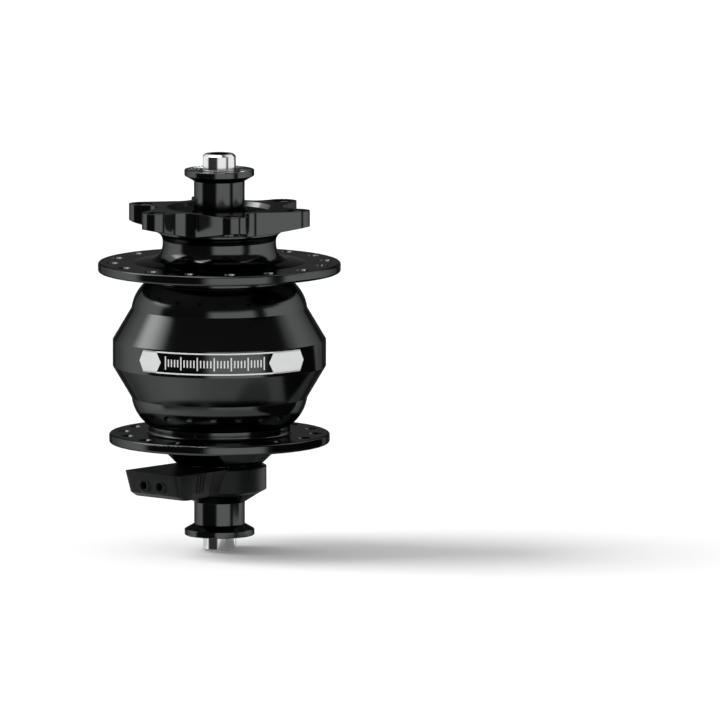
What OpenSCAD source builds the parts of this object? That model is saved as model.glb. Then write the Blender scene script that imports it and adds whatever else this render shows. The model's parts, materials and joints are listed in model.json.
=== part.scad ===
// Quick-release front hub dynamo with a six-bolt disc mount, as the separate pieces it is made of.
// Millimetres. The origin is the hub centre on the axle line, midway between the locknut faces.
// +Z runs along the axle to the disc side, and the connector points toward -X.

/* [Axle] */
// Distance between the two locknut faces
locknut_width = 100; // [98:0.5:104]
// Length of axle that stands out past each locknut face
axle_overhang = 4.3; // [3.5:0.1:5]
// Diameter of the axle ends that sit in the fork
axle_end_d = 9; // [8.6:0.1:9.4]
// Diameter of the axle inside the end caps
axle_cap_d = 10; // [9.8:0.1:10.6]
// Diameter of the axle through the bearings and the stator
axle_d = 12; // [11.8:0.1:12.2]
// Diameter of the bore for the quick-release skewer
skewer_bore_d = 5.1; // [5:0.1:5.6]
// Chamfer on the axle ends
axle_chamfer = 0.6; // [0.3:0.1:0.9]
// Width of the lead groove in the axle
groove_w = 2.8; // [2.6:0.1:3.2]
// Depth of the lead groove
groove_depth = 1.6; // [1.5:0.05:1.8]

/* [End caps] */
// Diameter of the serrated rim
cap_d = 19; // [18:0.1:21]
// Thickness of the rim
cap_rim = 1.7; // [1.4:0.1:2.2]
// Height of the cone behind the rim
cap_cone = 1.4; // [1:0.1:1.8]
// Chamfer on the rim edges
cap_edge = 0.15; // [0.1:0.05:0.3]
// Diameter of the tube of both caps
cap_tube_d = 13.8; // [13.4:0.1:14.4]
// Number of radial grooves in the locknut face
serrations = 45; // [36:1:48]
// Width of one groove at the face
serration_w = 0.5; // [0.4:0.05:0.6]
// Depth of the grooves
serration_depth = 0.4; // [0.2:0.05:0.6]
// Plain ring left between the grooves and the rim's chamfer
serration_rim = 0.35; // [0.1:0.05:0.5]

/* [Disc mount] */
// Distance from the locknut face down to the rotor face
rotor_inset = 10.3; // [10:0.1:11]
// Bolt circle of the brake rotor
rotor_pcd = 44; // [43.5:0.1:44.5]
// Number of rotor bolts, and of arms
rotor_bolts = 6; // [6:1:6]
// Diameter of the rotor bolt holes
rotor_hole_d = 5; // [4.6:0.1:5.2]
// Radius of the arm tip round its bolt hole
arm_tip_r = 4; // [3.7:0.1:4.4]
// Thickness of the arms at the tip
arm_t = 4.3; // [4:0.1:4.8]
// Slope of the underside of the arms, in degrees
arm_slope = 12.8; // [10:0.1:14]
// Radius in the corner between two arms
arm_fillet = 5; // [4:0.1:5.5]
// Diameter of the recess in the rotor face
recess_d = 28.9; // [28:0.1:29.2]
// Diameter at the bottom of the recess, where the dust seal sits
recess_seat_d = 25.4; // [25:0.1:26.4]
// Depth of the cone at the mouth of the recess
recess_cone = 3; // [2.4:0.1:3.2]
// Depth of the recess
recess_depth = 5.2; // [4.6:0.1:5.6]
// Smallest diameter of the neck
neck_d = 30.8; // [30.4:0.1:31.6]
// Radius between neck and flange
neck_foot_r = 2.2; // [1.8:0.1:3]
// Radius between neck and arms
neck_fillet = 3; // [2.6:0.1:3.2]

/* [Flanges] */
// Distance from the hub centre to the inner face of each flange
flange_offset = 22; // [21.6:0.1:22.6]
// Thickness of the flanges
flange_t = 2.7; // [2.5:0.1:3]
// Radius of the rounded flange rims
flange_edge = 0.65; // [0.4:0.05:1]
// Outer diameter of the disc-side flange
disc_flange_d = 66; // [65:0.5:68]
// Outer diameter of the connector-side flange
connector_flange_d = 60; // [59:0.5:62]
// Number of spoke holes in each flange
spoke_holes = 16; // [14:1:18]
// Distance from the flange rim to the middle of the spoke holes
spoke_edge = 4; // [3.6:0.1:4.4]
// Diameter of the spoke holes
spoke_hole_d = 2.8; // [2.6:0.05:3]
// Depth of the countersink on both ends of a spoke hole
spoke_sink = 0.55; // [0.3:0.05:0.7]
// Angle at which the shell is parked about the axle
shell_turn = -8.4; // [-30:0.1:30]

/* [Drum] */
// Diameter of the band round the middle
drum_d = 58; // [57:0.1:59]
// Height of that band
band_h = 7.2; // [6.8:0.1:7.6]
// Diameter where a cone meets its rounded shoulder
shoulder_d = 47.8; // [47.2:0.1:48.4]
// Distance from the hub centre to that edge
shoulder_z = 12.2; // [12:0.1:12.6]
// Radius of the rounded shoulder in section
shoulder_r = 11; // [10.6:0.1:11.4]
// Distance from the hub centre to the middle of that radius
shoulder_mid_z = 10.8; // [10.4:0.1:11]
// Diameter of the foot at the flange
foot_d = 38.6; // [38:0.1:39.4]
// Radius between foot and flange
foot_fillet = 0.8; // [0.4:0.1:1]
// Height of the boss below the connector-side flange
boss_h = 5.2; // [5:0.1:5.4]
// Diameter of the boss at its end, under a 45 degree cone
boss_end_d = 24.3; // [23.8:0.1:24.6]
// Step from the magnet ring seat in to the cavity
seat_step = 2.2; // [1.8:0.1:2.4]
// Depth of the cavity short of the shoulder edges
cavity_short = 1.2; // [1:0.1:1.6]
// Wall of the shell at its foot
foot_wall = 2.8; // [2.4:0.1:3]
// Overlap of the cover inside the drum
spigot_h = 4; // [3.6:0.1:4.4]
// Thickness of the spigot of the cover
spigot_t = 2; // [1.9:0.05:2.1]
// Thickness of the gasket cord
gasket_d = 1.16; // [1:0.02:1.2]

/* [Bearings] */
// Outer diameter of both ball bearings
bearing_od = 24; // [23.8:0.1:24.2]
// Width of both ball bearings
bearing_w = 6; // [6:0.1:6.4]
// Diameter of a ball
ball_d = 3.5; // [3.3:0.05:3.6]
// Number of balls in a bearing
ball_count = 11; // [9:1:12]
// Half the gap between inner and outer race
race_land = 1; // [0.9:0.05:1.1]
// Thickness of a bearing shield
shield_t = 0.5; // [0.4:0.05:0.55]
// Gap between a shield and the inner race
shield_gap = 0.3; // [0.2:0.05:0.4]
// How far a shield sits inside the face of its race
shield_inset = 0.05; // [0.03:0.01:0.08]
// Gap between a cage and the shields
cage_gap = 0.35; // [0.2:0.05:0.5]
// How far the connector-side bearing reaches below its flange
bearing_drop = 1.8; // [1.6:0.1:2]
// Thickness of the spring ring over the disc-side bearing
clip_t = 1; // [0.8:0.1:1.1]
// Depth of its groove in the shell
clip_groove = 0.6; // [0.5:0.05:0.8]
// Width of the spring ring
clip_w = 1.9; // [1.6:0.1:2.2]
// Opening of the spring ring, in degrees
clip_open = 30; // [20:1:40]
// Height of the lip over the spring ring groove
clip_lip = 0.2; // [0.15:0.05:0.4]
// Width of the ledge under the disc-side bearing
ledge_w = 1.4; // [1:0.1:1.6]
// Height of the straight bore at a bearing seat
ledge_h = 1.8; // [1.4:0.1:2]
// Width of the lip under the connector-side bearing
lip_w = 2.4; // [2:0.1:2.6]
// Thickness of the disc-side dust seal
seal_t = 1; // [0.8:0.1:1.2]
// Height of the lip on that seal
seal_lip = 0.8; // [0.6:0.1:1]
// How far the connector-side dust seal sits inside the boss
seal_inset = 0.6; // [0.4:0.1:0.8]

/* [Generator] */
// Number of magnets, twice the number of fingers on a claw pole
poles = 28; // [28:2:28]
// Outer diameter over the claw poles
stator_d = 42; // [41.6:0.1:42.2]
// Thickness of the magnets
magnet_t = 1.8; // [1.6:0.05:1.9]
// Height of the magnets
magnet_h = 14; // [13:0.1:14.6]
// Angle between two magnets, in degrees
magnet_space = 0.9; // [0.6:0.1:1.5]
// Thickness of the flux ring
yoke_t = 1.2; // [1:0.05:1.3]
// Height of the flux ring
yoke_h = 15; // [14.8:0.1:15.2]
// Gap past each end of the flux ring
yoke_end_gap = 0.2; // [0.1:0.05:0.3]
// Thickness of the claw pole plates
claw_plate = 2.4; // [2:0.1:2.6]
// Thickness of the claw fingers
claw_t = 2; // [1.8:0.1:2.1]
// Width of a finger at its root
claw_root_w = 5.6; // [5:0.1:5.7]
// Width of a finger at its tip
claw_tip_w = 2.4; // [2:0.1:2.5]
// Gap between a finger's tip and the other plate
finger_gap = 0.5; // [0.4:0.1:0.8]
// Height of the winding
coil_h = 12.8; // [12:0.1:13]
// Outer diameter of the winding
coil_d = 36.4; // [34:0.1:36.6]
// Thickness of the bobbin walls
bobbin_t = 0.9; // [0.8:0.05:1]
// How far the bobbin cheeks stand past the winding
bobbin_lip = 0.3; // [0.1:0.05:0.35]
// Outer diameter of the steel core
core_d = 19; // [18:0.1:20]
// Diameter of the two spacers on the axle
spacer_d = 15.6; // [15:0.1:15.8]

/* [Connector] */
// Diameter of the plastic ring round the axle
ring_d = 25.6; // [25:0.1:26.4]
// Height of the ring
ring_h = 7.8; // [7.6:0.1:8.2]
// Width of the bevels on the ring
ring_bevel = 1.5; // [1.2:0.1:1.6]
// Height of those bevels
ring_bevel_h = 0.8; // [0.6:0.05:1]
// Height of the metal cone under the ring
clamp_h = 2.8; // [2.5:0.1:3.2]
// Outer diameter of the sleeve through the ring
sleeve_d = 15; // [14.6:0.1:15.4]
// Reach of the paddle from the axle at its top edge
paddle_reach = 27.9; // [27:0.1:28.6]
// Width of the paddle at its top edge
paddle_w = 20; // [19:0.1:21]
// Height of the paddle
paddle_h = 7.1; // [6.9:0.1:7.3]
// Draft of the paddle walls, in degrees
paddle_draft = 15; // [12:0.5:17]
// Height of the bevel along the lower edge of the paddle
paddle_bevel_h = 1.2; // [1:0.1:1.4]
// Depth of that bevel at the tip
paddle_bevel = 2; // [1.6:0.1:2.2]
// Depth of that bevel along the sides
paddle_side_bevel = 0.4; // [0.3:0.1:0.6]
// How far the paddle lies below the upper face of the ring
paddle_drop = 0.3; // [0.2:0.1:0.5]
// Radius of the paddle corners
paddle_corner = 1.6; // [1.2:0.1:2]
// Distance from the axle to the seam between housing and plug
seam_x = 13.4; // [13.3:0.1:13.8]
// Length of the tongue inside the plug
tongue_l = 7; // [6:0.1:7.4]
// Width of the tongue
tongue_w = 10; // [9.6:0.1:10.4]
// Thickness of the tongue
tongue_t = 3; // [2.8:0.1:3.2]
// Distance between the two cable entries
entry_pitch = 5.8; // [5.6:0.1:6]
// Diameter of the cable entries
entry_d = 2.3; // [2.1:0.05:2.4]
// Outer diameter of the collars round them
collar_d = 4.2; // [4:0.1:4.4]
// Distance from the axle to the end of the collars
collar_reach = 27.4; // [27.2:0.1:28.4]
// Chamfer on the collars
collar_edge = 0.3; // [0.2:0.05:0.4]
// Width of a contact blade
blade_w = 2.4; // [2:0.1:2.6]
// Thickness of a contact blade
blade_t = 0.6; // [0.5:0.05:0.7]
// Distance from the sleeve to the blades
blade_inset = 0.9; // [0.7:0.1:1.1]
// Diameter of a lead wire
lead_d = 1; // [0.8:0.05:1.1]
// Gap round the leads where they pass a wall
lead_gap = 0.2; // [0.15:0.05:0.25]
// Gap between the two leads
lead_space = 0.24; // [0.2:0.02:0.3]
// How far the grip ribs stand out of the plug
rib_t = 0.25; // [0.15:0.05:0.35]
// Number of grip ribs on each side
rib_count = 3; // [2:1:4]
// Distance between two ribs
rib_pitch = 1.3; // [1.1:0.1:1.5]
// Width of a rib
rib_w = 0.5; // [0.4:0.05:0.6]
// Distance from the tip of the paddle to the last rib
rib_set = 11.6; // [10:0.1:12]
// How far the ribs stop short of the edges
rib_short = 0.4; // [0.3:0.1:0.6]

/* [Clearances] */
// Gap left where pieces are pressed or clamped together
fit = 0.02; // [0.01:0.01:0.04]
// Gap between balls and races
ball_gap = 0.05; // [0.04:0.01:0.08]
// Gap between magnets and claw poles
air_gap = 0.4; // [0.35:0.05:0.5]
// Gap between turning and still pieces
running_gap = 0.4; // [0.35:0.05:0.5]
// Gap between plug and tongue
plug_gap = 0.15; // [0.1:0.05:0.2]

/* [Hidden] */
$fn = 72;
eps = 0.01;
over = 1;
slice = 0.05;
lock_z = locknut_width / 2;
axle_half = lock_z + axle_overhang;
rotor_z = lock_z - rotor_inset;
recess_z = rotor_z - recess_depth;
recess_flare = (recess_d - recess_seat_d) / 2 / recess_cone;
clip_top = recess_z - clip_lip;
upper_top = clip_top - clip_t;
upper_mid = upper_top - bearing_w / 2;
upper_low = upper_top - bearing_w;
flange_out = flange_offset + flange_t;
lower_end = flange_out + bearing_drop;
lower_mid = lower_end - bearing_w / 2;
lower_in = lower_end - bearing_w;
boss_z = flange_out + boss_h;
ring_top = boss_z + running_gap;
ring_low = ring_top + ring_h;
clamp_low = ring_low + clamp_h;
cap_rim_z = lock_z - cap_rim;
cap_cone_z = cap_rim_z - cap_cone;
cap_bore_r = axle_cap_d / 2 + fit;
groove_mouth = serration_w * (1 + over / serration_depth);
tip_x = rotor_pcd / 2;
arm_side = tip_x / 2 + arm_tip_r;
arm_low = rotor_z - arm_t;
arm_outer = tip_x + arm_tip_r;
disc_spoke_pcd = disc_flange_d - 2 * spoke_edge;
connector_spoke_pcd = connector_flange_d - 2 * spoke_edge;
neck_r = neck_d / 2;
neck_top = arm_low - (arm_outer - neck_r - neck_fillet / 2) * tan(arm_slope);
band_z = band_h / 2;
shoulder_mid_r = shoulder_d / 2 - sqrt(pow(shoulder_r, 2) - pow(shoulder_z - shoulder_mid_z, 2));
pitch_r = (bearing_od + axle_d) / 4;
groove_r = ball_d / 2 + ball_gap;
cage_z = bearing_w / 2 - shield_t - cage_gap;
magnet_in = stator_d / 2 + air_gap;
yoke_in = magnet_in + magnet_t + fit;
yoke_out = yoke_in + yoke_t;
seat_r = yoke_out + fit;
seat_z = yoke_h / 2 + yoke_end_gap;
cavity_r = seat_r - seat_step;
spigot_r = seat_r + spigot_t;
spigot_z = spigot_h - band_z;
gasket_z = spigot_z + gasket_d / 2 + fit;
counter_z = spigot_z + gasket_d + 2 * fit;
bobbin_z = coil_h / 2 + fit + bobbin_t;
claw_in = bobbin_z + fit;
claw_out = claw_in + claw_plate;
finger_in = sqrt(pow(stator_d / 2, 2) - pow(claw_root_w / 2, 2)) - claw_t;
core_r = core_d / 2;
bobbin_r = core_r + fit;
cheek_r = coil_d / 2 + bobbin_lip;
bore_r = axle_d / 2 + fit;
lip_r = bearing_od / 2 - lip_w;
paddle_top = ring_top + paddle_drop;
paddle_low = paddle_top + paddle_h;
paddle_mid = paddle_low - paddle_bevel_h;
draft_in = (paddle_h - paddle_bevel_h) * tan(paddle_draft);
entry_z = paddle_top + paddle_h / 2;
blade_z = entry_z - tongue_t / 2 + blade_t / 2;
blade_in = sleeve_d / 2 + blade_inset;
lead_r = axle_d / 2 - groove_depth / 2;
lead_y = (lead_d + lead_space) / 2;
collar_in = seam_x + tongue_l;
lead_run = [blade_in - lead_r, entry_pitch / 2 - lead_y];

// A ring about Z from radius a to radius b, between two heights
module ring(a, b, low, high) {
  translate([0, 0, low])
    rotate_extrude()
      translate([a, 0])
        square([b - a, high - low]);
}

// The hollow axle with its steps and lead groove
module axle() {
  color("silver")
    difference() {
      rotate_extrude()
        polygon([
          [skewer_bore_d / 2, -axle_half],
          [axle_end_d / 2 - axle_chamfer, -axle_half],
          [axle_end_d / 2, -axle_half + axle_chamfer],
          [axle_end_d / 2, -lock_z],
          [axle_cap_d / 2, -lock_z],
          [axle_cap_d / 2, -ring_low],
          [axle_d / 2, -ring_low],
          [axle_d / 2, upper_top],
          [axle_cap_d / 2, upper_top],
          [axle_cap_d / 2, lock_z],
          [axle_end_d / 2, lock_z],
          [axle_end_d / 2, axle_half - axle_chamfer],
          [axle_end_d / 2 - axle_chamfer, axle_half],
          [skewer_bore_d / 2, axle_half]
        ]);
      translate([-axle_d, -groove_w / 2, -blade_z - 2 * lead_d])
        cube([axle_d / 2 + groove_depth, groove_w, blade_z + 2 * lead_d - claw_in / 2]);
    }
}

// The radial grooves of one locknut face, cut from above
module serration_cuts() {
  for (i = [0:serrations - 1])
    rotate([0, 0, i * 360 / serrations])
      translate([axle_end_d / 2, 0, lock_z])
        rotate([0, 90, 0])
          linear_extrude(cap_d / 2 - cap_edge - serration_rim - axle_end_d / 2)
            polygon([[-over, -groove_mouth / 2], [-over, groove_mouth / 2], [serration_depth, 0]]);
}

// Section of the rim and cone that both end caps share, from its cone to its bore
function cap_head() = [
  [cap_tube_d / 2, cap_cone_z],
  [cap_d / 2 - cap_edge, cap_rim_z],
  [cap_d / 2, cap_rim_z + cap_edge],
  [cap_d / 2, lock_z - cap_edge],
  [cap_d / 2 - cap_edge, lock_z],
  [cap_bore_r, lock_z]
];

// The serrated cap of the disc side, down to the inner race
module disc_end_cap() {
  color("dimgray")
    difference() {
      rotate_extrude()
        polygon(concat([[cap_bore_r, upper_top], [cap_tube_d / 2, upper_top]], cap_head()));
      serration_cuts();
    }
}

// The serrated cap of the connector side, with the cone that clamps the ring
module connector_end_cap() {
  color("dimgray")
    rotate([180, 0, 0])
      difference() {
        rotate_extrude()
          polygon(concat([
            [cap_bore_r, ring_low],
            [ring_d / 2 - ring_bevel, ring_low],
            [cap_tube_d / 2, clamp_low]
          ], cap_head()));
        serration_cuts();
      }
}

// The drafted paddle outline, pointing to +X, widened sideways by a given amount
module paddle(grow) {
  plates = [
    [-paddle_top - slice, paddle_reach, paddle_w / 2 + grow],
    [-paddle_mid, paddle_reach - draft_in, paddle_w / 2 + grow - draft_in],
    [-paddle_low, paddle_reach - draft_in - paddle_bevel, paddle_w / 2 + grow - draft_in - paddle_side_bevel]
  ];
  hull()
    for (p = plates) {
      for (s = [-1, 1])
        translate([p[1] - paddle_corner, s * (p[2] - paddle_corner), p[0]])
          cylinder(h = slice, r = paddle_corner, $fn = 40);
      translate([sleeve_d / 4, -p[2], p[0]])
        cube([sleeve_d / 4, 2 * p[2], slice]);
    }
}

// A block on both cable lines, pointing to +X
module blade_pair(from, to, w, t) {
  for (s = [-1, 1])
    translate([from, s * entry_pitch / 2 - w / 2, -blade_z - t / 2])
      cube([to - from, w, t]);
}

// The plastic ring with the root of the paddle and the tongue
module connector_housing() {
  color("#202224")
    rotate([0, 0, 180])
      difference() {
        union() {
          rotate_extrude()
            polygon([
              [sleeve_d / 2 + fit, -ring_low],
              [ring_d / 2 - ring_bevel, -ring_low],
              [ring_d / 2, -ring_low + ring_bevel_h],
              [ring_d / 2, -ring_top - ring_bevel_h],
              [ring_d / 2 - ring_bevel, -ring_top],
              [sleeve_d / 2 + fit, -ring_top]
            ]);
          difference() {
            intersection() {
              paddle(0);
              translate([0, -paddle_w, -ring_low])
                cube([seam_x, 2 * paddle_w, ring_h]);
            }
            translate([0, 0, -ring_low - over])
              cylinder(h = ring_h + 2 * over, d = (sleeve_d + ring_d) / 2);
          }
          translate([ring_d / 2 - over, -tongue_w / 2, -entry_z - tongue_t / 2])
            cube([collar_in - ring_d / 2 + over, tongue_w, tongue_t]);
        }
        blade_pair(sleeve_d / 2 - over, collar_in + over, blade_w + 2 * fit, blade_t + 2 * fit);
        translate([sleeve_d / 2 - over, -entry_pitch / 2 - lead_d, -blade_z - lead_d / 2 - lead_gap])
          cube([blade_in - sleeve_d / 2 + over, entry_pitch + 2 * lead_d, lead_d + 2 * lead_gap]);
      }
}

// The two contact blades
module connector_terminals() {
  color("goldenrod")
    rotate([0, 0, 180])
      blade_pair(blade_in, collar_in - lead_gap, blade_w, blade_t);
}

// The two leads, along the axle groove and out to the blades
module lead_wires() {
  color("firebrick")
    rotate([0, 0, 180])
      for (s = [-1, 1]) {
        translate([lead_r, s * lead_y, -blade_z])
          cylinder(h = blade_z - claw_in / 2 - lead_d, d = lead_d);
        translate([lead_r, s * lead_y, -blade_z])
          sphere(d = lead_d);
        translate([lead_r, s * lead_y, -blade_z])
          rotate([0, 0, s * atan2(lead_run[1], lead_run[0])])
            rotate([0, 90, 0])
              cylinder(h = norm(lead_run) - lead_d / 2, d = lead_d);
      }
}

// The sleeve that carries the clamping load through the ring
module connector_sleeve() {
  color("silver")
    difference() {
      ring(bore_r, sleeve_d / 2, -ring_low, -lower_end);
      translate([-sleeve_d, -entry_pitch / 2 - 2 * lead_gap, -blade_z - lead_d / 2 - lead_gap])
        cube([sleeve_d, entry_pitch + 4 * lead_gap, lead_d + 2 * lead_gap]);
    }
}

// The steel core inside the bobbin
module stator_core() {
  color("gray")
    ring(bore_r, core_r, -claw_in, claw_in);
}

// One claw pole with its plate on top and its fingers hanging down
module claw_pole() {
  ring(bore_r, finger_in + claw_t / 2, claw_in, claw_out);
  for (i = [0:poles / 2 - 1])
    rotate([0, 0, i * 720 / poles])
      translate([finger_in, 0, 0])
        rotate([90, 0, 90])
          linear_extrude(claw_t)
            polygon([
              [-claw_root_w / 2, claw_out],
              [claw_root_w / 2, claw_out],
              [claw_root_w / 2, claw_in - finger_gap],
              [claw_tip_w / 2, -claw_in + finger_gap],
              [-claw_tip_w / 2, -claw_in + finger_gap],
              [-claw_root_w / 2, claw_in - finger_gap]
            ]);
}

// The claw pole of the disc side
module claw_pole_disc_side() {
  color("gray")
    claw_pole();
}

// The claw pole of the connector side, its fingers between those of the other
module claw_pole_connector_side() {
  color("gray")
    rotate([0, 0, 360 / poles])
      rotate([180, 0, 0])
        claw_pole();
}

// The plastic former of the winding
module coil_bobbin() {
  color("ivory")
    rotate_extrude()
      polygon([
        [bobbin_r, -bobbin_z],
        [cheek_r, -bobbin_z],
        [cheek_r, -bobbin_z + bobbin_t],
        [bobbin_r + bobbin_t, -bobbin_z + bobbin_t],
        [bobbin_r + bobbin_t, bobbin_z - bobbin_t],
        [cheek_r, bobbin_z - bobbin_t],
        [cheek_r, bobbin_z],
        [bobbin_r, bobbin_z]
      ]);
}

// The winding
module coil_winding() {
  color("peru")
    ring(bobbin_r + bobbin_t + fit, coil_d / 2, -coil_h / 2, coil_h / 2);
}

// Spacer between the claw pole and the disc-side bearing
module stator_spacer_disc_side() {
  color("silver")
    ring(bore_r, spacer_d / 2, claw_out, upper_low);
}

// Spacer between the claw pole and the connector-side bearing
module stator_spacer_connector_side() {
  color("silver")
    ring(bore_r, spacer_d / 2, -lower_in, -claw_out);
}

// Inner race of a bearing about a given height
module inner_race(mid) {
  translate([0, 0, mid])
    rotate_extrude()
      difference() {
        translate([bore_r, -bearing_w / 2])
          square([pitch_r - race_land - bore_r, bearing_w]);
        translate([pitch_r, 0])
          circle(r = groove_r);
      }
}

// Outer race of a bearing about a given height
module outer_race(mid) {
  translate([0, 0, mid])
    rotate_extrude()
      difference() {
        translate([pitch_r + race_land, -bearing_w / 2])
          square([bearing_od / 2 - pitch_r - race_land, bearing_w]);
        translate([pitch_r, 0])
          circle(r = groove_r);
      }
}

// The two shields of a bearing, held by its outer race
module shields(mid) {
  low = bearing_w / 2 - shield_t - shield_inset;
  for (s = [-1, 1])
    translate([0, 0, mid + s * (low + shield_t / 2)])
      ring(pitch_r - race_land + shield_gap, pitch_r + race_land - fit, -shield_t / 2, shield_t / 2);
}

// One set of balls
module balls(mid) {
  for (i = [0:ball_count - 1])
    rotate([0, 0, i * 360 / ball_count])
      translate([pitch_r, 0, mid])
        sphere(d = ball_d, $fn = 24);
}

// The cage that spaces one set of balls
module cage(mid) {
  difference() {
    ring(pitch_r - race_land + running_gap, pitch_r + race_land - running_gap, mid - cage_z, mid + cage_z);
    for (i = [0:ball_count - 1])
      rotate([0, 0, i * 360 / ball_count])
        translate([pitch_r, 0, mid])
          sphere(r = ball_d / 2 + ball_gap, $fn = 24);
  }
}

// Disc-side inner race
module inner_race_disc_side() {
  color("lightgray")
    inner_race(upper_mid);
}

// Connector-side inner race
module inner_race_connector_side() {
  color("lightgray")
    inner_race(-lower_mid);
}

// Disc-side outer race
module outer_race_disc_side() {
  color("lightgray")
    outer_race(upper_mid);
}

// Connector-side outer race
module outer_race_connector_side() {
  color("lightgray")
    outer_race(-lower_mid);
}

// Disc-side bearing shields
module bearing_seals_disc_side() {
  color("#181818")
    shields(upper_mid);
}

// Connector-side bearing shields
module bearing_seals_connector_side() {
  color("#181818")
    shields(-lower_mid);
}

// Disc-side balls
module balls_disc_side() {
  color("white")
    balls(upper_mid);
}

// Disc-side ball cage
module cage_disc_side() {
  color("beige")
    cage(upper_mid);
}

// Connector-side balls
module balls_connector_side() {
  color("white")
    balls(-lower_mid);
}

// Connector-side ball cage
module cage_connector_side() {
  color("beige")
    cage(-lower_mid);
}

// Section of a flange of radius r, above its inner face
module flange_section(r) {
  translate([0, flange_offset])
    square([r - flange_edge, flange_t]);
  translate([0, flange_offset + flange_edge])
    square([r, flange_t - 2 * flange_edge]);
  for (z = [flange_offset + flange_edge, flange_out - flange_edge])
    translate([r - flange_edge, z])
      circle(r = flange_edge);
}

// Section of the rounded shoulder, its foot and its fillet, from the cone edge to the flange
module shoulder_section() {
  intersection() {
    translate([shoulder_mid_r, shoulder_mid_z])
      circle(r = shoulder_r);
    translate([0, shoulder_z])
      square([shoulder_d, flange_offset - shoulder_z]);
  }
  translate([0, shoulder_z])
    square([foot_d / 2, flange_offset - shoulder_z + eps]);
  translate([foot_d / 2, flange_offset - foot_fillet])
    difference() {
      translate([-eps, 0])
        square([foot_fillet + eps, foot_fillet + eps]);
      translate([foot_fillet, 0])
        circle(r = foot_fillet);
    }
}

// Spoke holes with countersinks on both ends, on a given circle
module spoke_cuts(pcd, start) {
  for (i = [0:spoke_holes - 1])
    rotate([0, 0, start + i * 360 / spoke_holes])
      translate([pcd / 2, 0, 0])
        rotate_extrude()
          polygon([
            [0, flange_offset - over],
            [spoke_hole_d / 2 + spoke_sink + over, flange_offset - over],
            [spoke_hole_d / 2, flange_offset + spoke_sink],
            [spoke_hole_d / 2, flange_out - spoke_sink],
            [spoke_hole_d / 2 + spoke_sink + over, flange_out + over],
            [0, flange_out + over]
          ]);
}

// Outline of the swept six-arm disc mount, seen from the disc side
module arm_outline() {
  circle(r = neck_r);
  for (i = [0:rotor_bolts - 1])
    rotate(i * 360 / rotor_bolts) {
      translate([tip_x, 0])
        circle(r = arm_tip_r);
      polygon([
        [0, 0],
        [0, arm_tip_r],
        [tip_x, arm_tip_r],
        [tip_x + arm_tip_r * cos(60), -arm_tip_r * sin(60)],
        [arm_side * cos(60) + arm_tip_r * cos(30), -arm_side * sin(60) + arm_tip_r * sin(30)]
      ]);
      rotate(-60)
        translate([arm_side, arm_tip_r])
          difference() {
            translate([-arm_tip_r / 2, -arm_tip_r / 2])
              square(arm_fillet + arm_tip_r / 2);
            translate([arm_fillet, arm_fillet])
              circle(r = arm_fillet);
          }
    }
}

// Drum, disc-side flange, neck and disc mount, with everything bored from the middle
module hub_shell() {
  color("#26282a")
    rotate([0, 0, shell_turn])
      difference() {
        union() {
          rotate_extrude()
            union() {
              polygon([
                [0, -band_z],
                [drum_d / 2, -band_z],
                [drum_d / 2, band_z],
                [shoulder_d / 2, shoulder_z],
                [0, shoulder_z]
              ]);
              shoulder_section();
              flange_section(disc_flange_d / 2);
              translate([0, flange_out - eps])
                square([neck_r, rotor_z - flange_out + eps]);
              translate([neck_r, flange_out])
                difference() {
                  translate([-eps, -eps])
                    square(neck_foot_r + eps);
                  translate([neck_foot_r, neck_foot_r])
                    circle(r = neck_foot_r);
                }
              translate([neck_r, neck_top - neck_fillet])
                difference() {
                  translate([-eps, 0])
                    square([neck_fillet / 2, neck_fillet]);
                  translate([neck_fillet, 0])
                    circle(r = neck_fillet);
                }
            }
          intersection() {
            translate([0, 0, flange_out + over])
              linear_extrude(rotor_z - flange_out - over)
                arm_outline();
            rotate_extrude()
              polygon([
                [0, neck_top],
                [neck_r, arm_low - (arm_outer - neck_r) * tan(arm_slope)],
                [arm_outer + over, arm_low + over * tan(arm_slope)],
                [arm_outer + over, rotor_z],
                [0, rotor_z]
              ]);
          }
        }
        rotate_extrude()
          polygon([
            [0, -band_z - over],
            [spigot_r + fit, -band_z - over],
            [spigot_r + fit, counter_z],
            [seat_r, counter_z],
            [seat_r, seat_z],
            [cavity_r, seat_z],
            [cavity_r, shoulder_z - cavity_short],
            [foot_d / 2 - foot_wall, flange_offset - foot_wall],
            [bearing_od / 2 - ledge_w, upper_low - ledge_h],
            [bearing_od / 2 - ledge_w, upper_low],
            [bearing_od / 2 + fit, upper_low],
            [bearing_od / 2 + fit, upper_top],
            [bearing_od / 2 + clip_groove, upper_top],
            [bearing_od / 2 + clip_groove, clip_top],
            [bearing_od / 2 + fit, clip_top],
            [bearing_od / 2 + fit, recess_z],
            [recess_seat_d / 2, recess_z],
            [recess_seat_d / 2, rotor_z - recess_cone],
            [recess_d / 2 + over * recess_flare, rotor_z + over],
            [0, rotor_z + over]
          ]);
        for (i = [0:rotor_bolts - 1])
          rotate([0, 0, i * 360 / rotor_bolts])
            translate([tip_x, 0, arm_low - rotor_hole_d])
              cylinder(h = arm_t + rotor_hole_d + over, d = rotor_hole_d);
        spoke_cuts(disc_spoke_pcd, 180 / spoke_holes);
      }
}

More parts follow.
